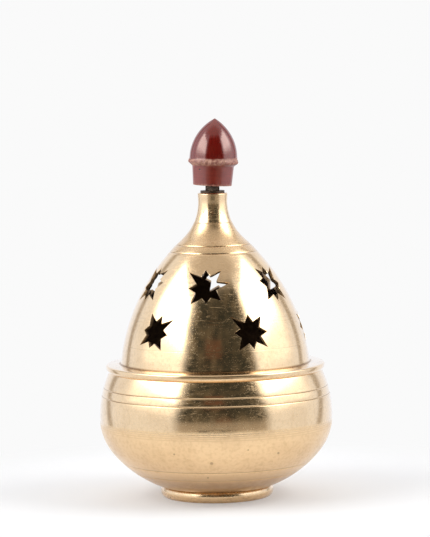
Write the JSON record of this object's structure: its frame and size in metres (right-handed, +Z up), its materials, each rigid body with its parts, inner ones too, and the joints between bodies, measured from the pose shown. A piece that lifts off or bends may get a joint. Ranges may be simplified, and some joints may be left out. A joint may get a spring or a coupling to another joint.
{
  "type": "thurible censer",
  "caption": "Round turned metal censer on a foot ring, with a charcoal cup inside and a star-pierced dome lid that lifts off by a turned wooden knob.",
  "frame": {"origin": "middle of the foot ring's resting face", "axes": "+Z up along the turning axis; -Y is the front"},
  "size_m": [0.092, 0.092, 0.149],
  "materials": {
    "cast_brass": "cast, turned and polished, satin below the belly",
    "polished_brass": "polished, with fine scratches",
    "sooted_brass": "heat-darkened and sooty",
    "dark_steel": "dark, tarnished",
    "red_lacquered_wood": "dark red lacquer, glossy, worn pale at the ring"
  },
  "bodies": {
    "base": {"foot_ring": "cast_brass", "bowl": "cast_brass"},
    "cup": {"charcoal_cup": "sooted_brass"},
    "lid": {"lid_dome": "polished_brass", "neck": "polished_brass", "stud": "dark_steel", "washer": "dark_steel", "nut": "dark_steel"},
    "handle": {"knob": "red_lacquered_wood"}
  },
  "joints": [
    {"name": "lid_lift", "type": "slide", "parent": "base", "child": "lid", "axis": [0, 0, 1], "range_m": [0, 0.1]},
    {"name": "cup_lift", "type": "slide", "parent": "base", "child": "cup", "axis": [0, 0, 1], "range_m": [0, 0.045]},
    {"name": "knob_turn", "type": "hinge", "parent": "lid", "child": "handle", "pos_m": [0, 0, 0.1225], "axis": [0, 0, 1], "continuous": true}
  ]
}
